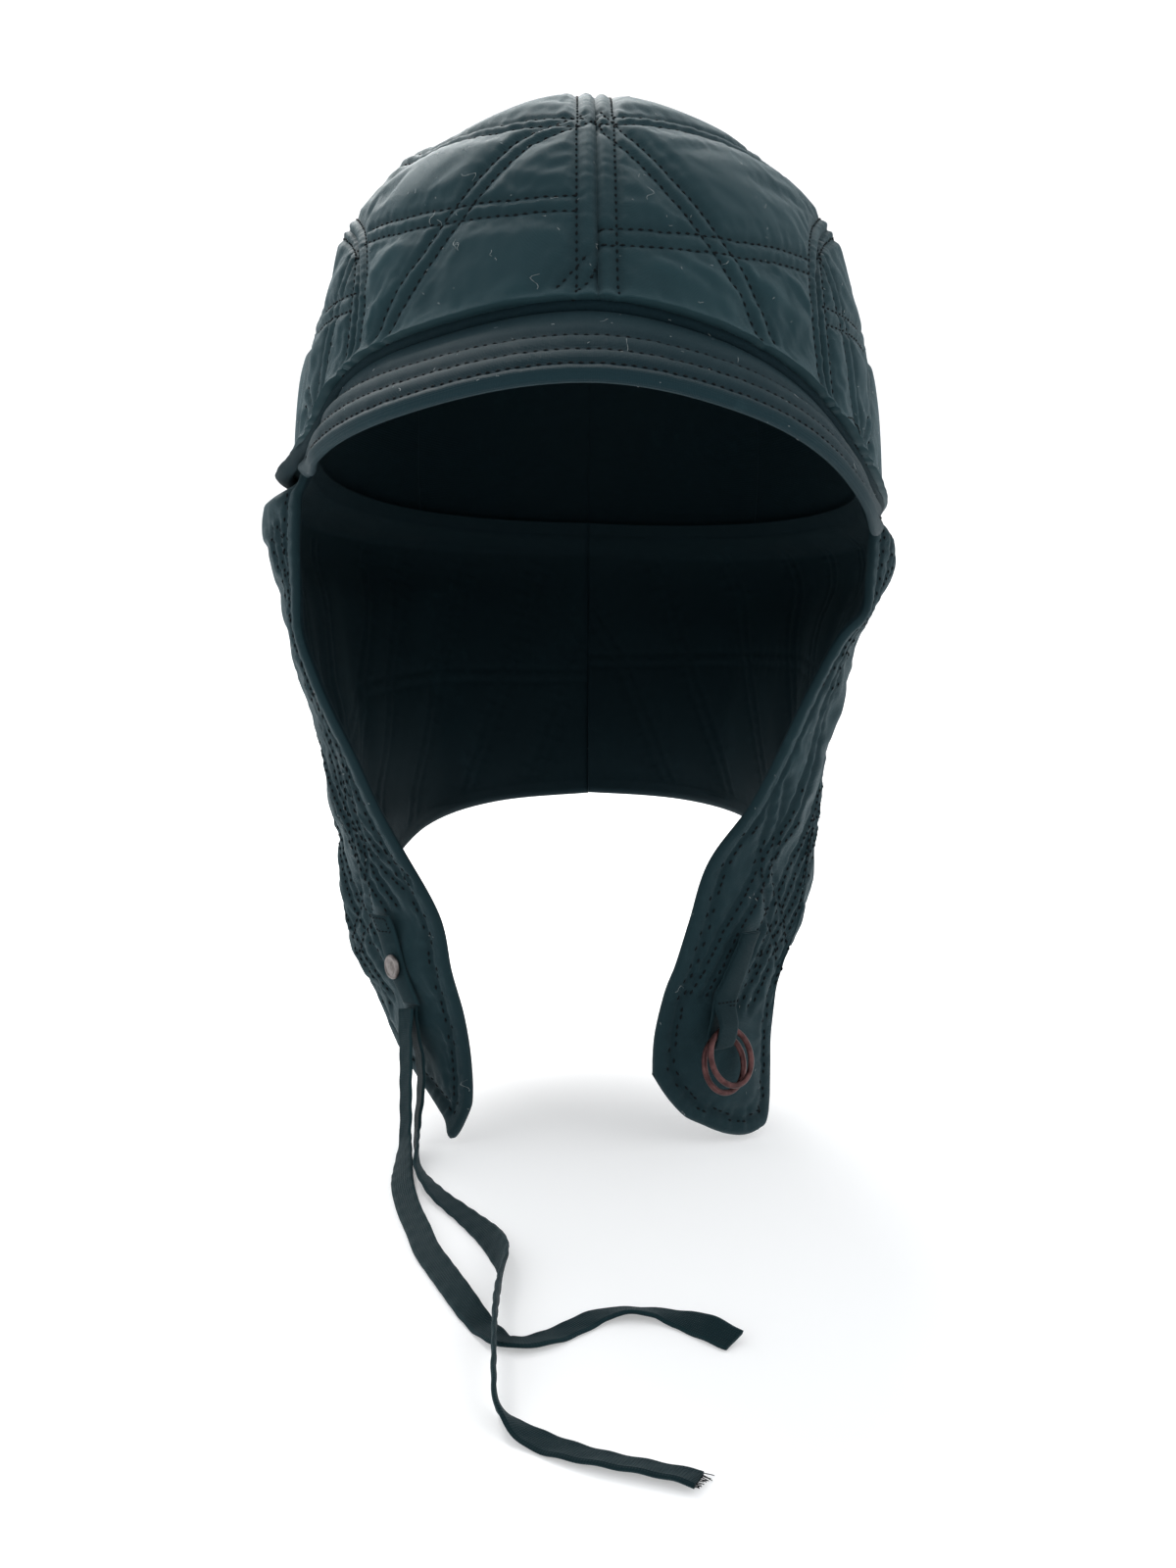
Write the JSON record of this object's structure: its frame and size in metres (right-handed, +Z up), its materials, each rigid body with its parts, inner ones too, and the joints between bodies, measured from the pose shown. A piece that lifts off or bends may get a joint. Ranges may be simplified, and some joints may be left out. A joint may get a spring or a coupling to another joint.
{
  "type": "aviator hat",
  "caption": "Quilted cloth aviator hat with a soft stitched peak, a rolled edge, long ear flaps joined by a nape curtain, wire rings on a loop tab and a snap tab with flat ties.",
  "frame": {"origin": "middle of the head opening, level with the crown's lower edge over the ears", "axes": "+Z up through the crown, -Y to the front where the peak is, +X to the wearer's left"},
  "size_m": [0.2003, 0.3387, 0.3098],
  "materials": {
    "shell_fabric": "matt quilted nylon shell, very dark blue-green",
    "tab_fabric": "matt folded nylon",
    "tie_fabric": "matt woven tape",
    "ring_metal": "reddish brown coated wire, satin",
    "snap_metal": "dull nickel"
  },
  "bodies": {
    "root": {"crown_top_left": "shell_fabric", "crown_top_right": "shell_fabric", "crown_side_left": "shell_fabric", "crown_side_right": "shell_fabric", "hem_roll": "shell_fabric", "peak": "shell_fabric", "ear_flap_left": "shell_fabric", "ear_flap_right": "shell_fabric", "ring_tab": "tab_fabric", "ring_front": "ring_metal", "ring_back": "ring_metal", "snap_tab": "tab_fabric", "snap_cap": "snap_metal", "tie_outer": "tie_fabric", "tie_inner": "tie_fabric"}
  },
  "joints": []
}
